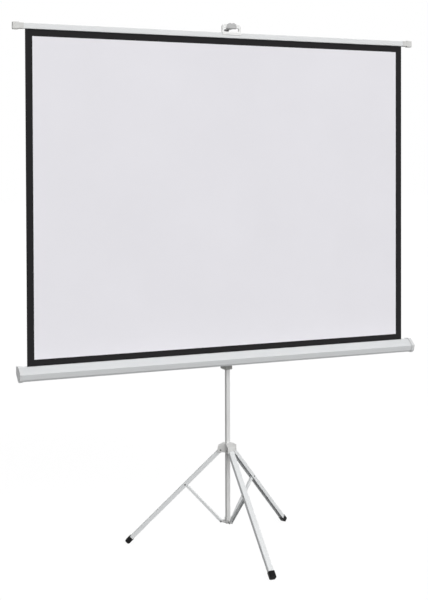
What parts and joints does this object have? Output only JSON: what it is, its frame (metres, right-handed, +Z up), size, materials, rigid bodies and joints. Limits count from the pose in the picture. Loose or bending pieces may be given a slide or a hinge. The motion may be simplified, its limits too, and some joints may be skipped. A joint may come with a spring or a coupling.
{
  "type": "tripod projection screen",
  "caption": "Portable pull-up projection screen: a fabric on a spring roller in a long case, held open by a telescoping mast on a folding channel-leg tripod.",
  "frame": {"origin": "floor level, under the middle of the whole screen's bounding box", "axes": "+Z up, +X along the case to the viewer's right, +Y from the viewed side to the back"},
  "size_m": [2.19, 0.8158, 2.6837],
  "materials": {
    "mast_paint": "satin grey powder coat",
    "leg_paint": "satin pale grey powder coat",
    "case_white": "satin white coat",
    "slat_white": "satin white coat",
    "cap_plastic": "fine matte",
    "white_plastic": "fine matte",
    "grey_plastic": "fine matte",
    "black_plastic": "fine matte",
    "foot_rubber": "matte moulded",
    "rivet_steel": "zinc plated",
    "rivet_dark": "blackened",
    "roller_aluminium": "mill finish",
    "screen_fabric": "matte white with a black border"
  },
  "bodies": {
    "stand": {"mast_outer_tube": "mast_paint", "foot_bracket": "mast_paint", "outer_collar": "grey_plastic", "strut_pin_front": "rivet_dark", "strut_pin_right": "rivet_dark", "strut_pin_left": "rivet_dark"},
    "front_strut": {"strut_front": "leg_paint"},
    "right_strut": {"strut_right": "leg_paint"},
    "left_strut": {"strut_left": "leg_paint"},
    "front_leg": {"leg_front": "leg_paint", "foot_cap_front": "foot_rubber", "leg_pin_front": "rivet_dark"},
    "right_leg": {"leg_right": "leg_paint", "foot_cap_right": "foot_rubber", "leg_pin_right": "rivet_dark"},
    "left_leg": {"leg_left": "leg_paint", "foot_cap_left": "foot_rubber", "leg_pin_left": "rivet_dark"},
    "sliding_hub": {"hub": "grey_plastic", "hub_pin_front": "rivet_dark", "hub_pin_right": "rivet_dark", "hub_pin_left": "rivet_dark"},
    "outer_knob": {"outer_lock_knob": "black_plastic"},
    "case_carriage": {"carriage": "grey_plastic", "case_bracket": "mast_paint", "swivel_bolt": "rivet_steel", "case_shell": "case_white", "case_cap_left": "cap_plastic", "case_cap_right": "cap_plastic", "spring_arbor": "rivet_steel", "torsion_spring": "rivet_steel", "projection_fabric": "screen_fabric"},
    "carriage_knob": {"carriage_lock_knob": "black_plastic"},
    "roller": {"roller_tube": "roller_aluminium", "wound_fabric": "screen_fabric", "idler_plug": "grey_plastic", "spring_plug": "grey_plastic"},
    "top_slat": {"slat": "slat_white", "slat_cap_left": "white_plastic", "slat_cap_right": "white_plastic", "hem_rod": "rivet_steel", "pull_handle": "white_plastic"},
    "mast_middle": {"mast_middle_tube": "mast_paint", "middle_guide": "grey_plastic", "middle_collar": "grey_plastic"},
    "middle_knob": {"middle_lock_knob": "black_plastic"},
    "mast_top": {"mast_top_tube": "mast_paint", "top_guide": "grey_plastic", "hook": "grey_plastic"}
  },
  "joints": [
    {"name": "tripod_fold", "type": "hinge", "parent": "stand", "child": "front_strut", "pos_m": [0.025, 0.09268, 0.13], "axis": [-1, 0, 0], "range_deg": [0, 41]},
    {"name": "right_strut_fold", "type": "hinge", "parent": "stand", "child": "right_strut", "pos_m": [0.05531, 0.14518, 0.13], "axis": [0.5, -0.866, 0], "range_deg": [0, 41]},
    {"name": "left_strut_fold", "type": "hinge", "parent": "stand", "child": "left_strut", "pos_m": [-0.00531, 0.14518, 0.13], "axis": [0.5, 0.866, 0], "range_deg": [0, 41]},
    {"name": "front_leg_fold", "type": "hinge", "parent": "front_strut", "child": "front_leg", "pos_m": [0.025, -0.09202, 0.316], "axis": [-1, 0, 0], "range_deg": [-82.5, 0]},
    {"name": "right_leg_fold", "type": "hinge", "parent": "right_strut", "child": "right_leg", "pos_m": [0.21527, 0.23753, 0.316], "axis": [0.5, -0.866, 0], "range_deg": [-82.5, 0]},
    {"name": "left_leg_fold", "type": "hinge", "parent": "left_strut", "child": "left_leg", "pos_m": [-0.16527, 0.23753, 0.316], "axis": [0.5, 0.866, 0], "range_deg": [-82.5, 0]},
    {"name": "hub_level", "type": "hinge", "parent": "front_leg", "child": "sliding_hub", "pos_m": [0.025, 0.09268, 0.502], "axis": [-1, 0, 0], "range_deg": [0, 41]},
    {"name": "outer_knob_turn", "type": "hinge", "parent": "stand", "child": "outer_knob", "pos_m": [0.025, 0.15433, 1.038], "axis": [0, 1, 0], "range_deg": [0, 360]},
    {"name": "height_adjust", "type": "slide", "parent": "stand", "child": "case_carriage", "axis": [0, 0, 1], "range_m": [-0.13, 0]},
    {"name": "carriage_knob_turn", "type": "hinge", "parent": "case_carriage", "child": "carriage_knob", "pos_m": [0.025, 0.17983, 0.956], "axis": [0, 1, 0], "range_deg": [0, 360]},
    {"name": "screen_pull", "type": "slide", "parent": "case_carriage", "child": "top_slat", "axis": [0, 0, 1], "range_m": [-1.38, 0], "deforming": ["projection_fabric"]},
    {"name": "roller_turn", "type": "hinge", "parent": "case_carriage", "child": "roller", "pos_m": [0, 0.04963, 0.985], "axis": [1, 0, 0], "range_deg": [-4000, 0]},
    {"name": "middle_extend", "type": "slide", "parent": "case_carriage", "child": "mast_middle", "axis": [0, 0, 1], "range_m": [-0.69, 0]},
    {"name": "middle_knob_turn", "type": "hinge", "parent": "mast_middle", "child": "middle_knob", "pos_m": [0.025, 0.15433, 1.902], "axis": [0, 1, 0], "range_deg": [0, 360]},
    {"name": "top_extend", "type": "slide", "parent": "mast_middle", "child": "mast_top", "axis": [0, 0, 1], "range_m": [-0.69, 0]}
  ],
  "couplings": [
    {"joint": "right_strut_fold", "follows": "tripod_fold", "ratio": 1},
    {"joint": "left_strut_fold", "follows": "tripod_fold", "ratio": 1},
    {"joint": "front_leg_fold", "follows": "tripod_fold", "ratio": -2},
    {"joint": "right_leg_fold", "follows": "tripod_fold", "ratio": -2},
    {"joint": "left_leg_fold", "follows": "tripod_fold", "ratio": -2},
    {"joint": "hub_level", "follows": "tripod_fold", "ratio": 1},
    {"joint": "roller_turn", "follows": "screen_pull", "rad_per_m": 50.5},
    {"joint": "middle_extend", "follows": "screen_pull", "ratio": 0.5},
    {"joint": "top_extend", "follows": "screen_pull", "ratio": 0.5}
  ]
}
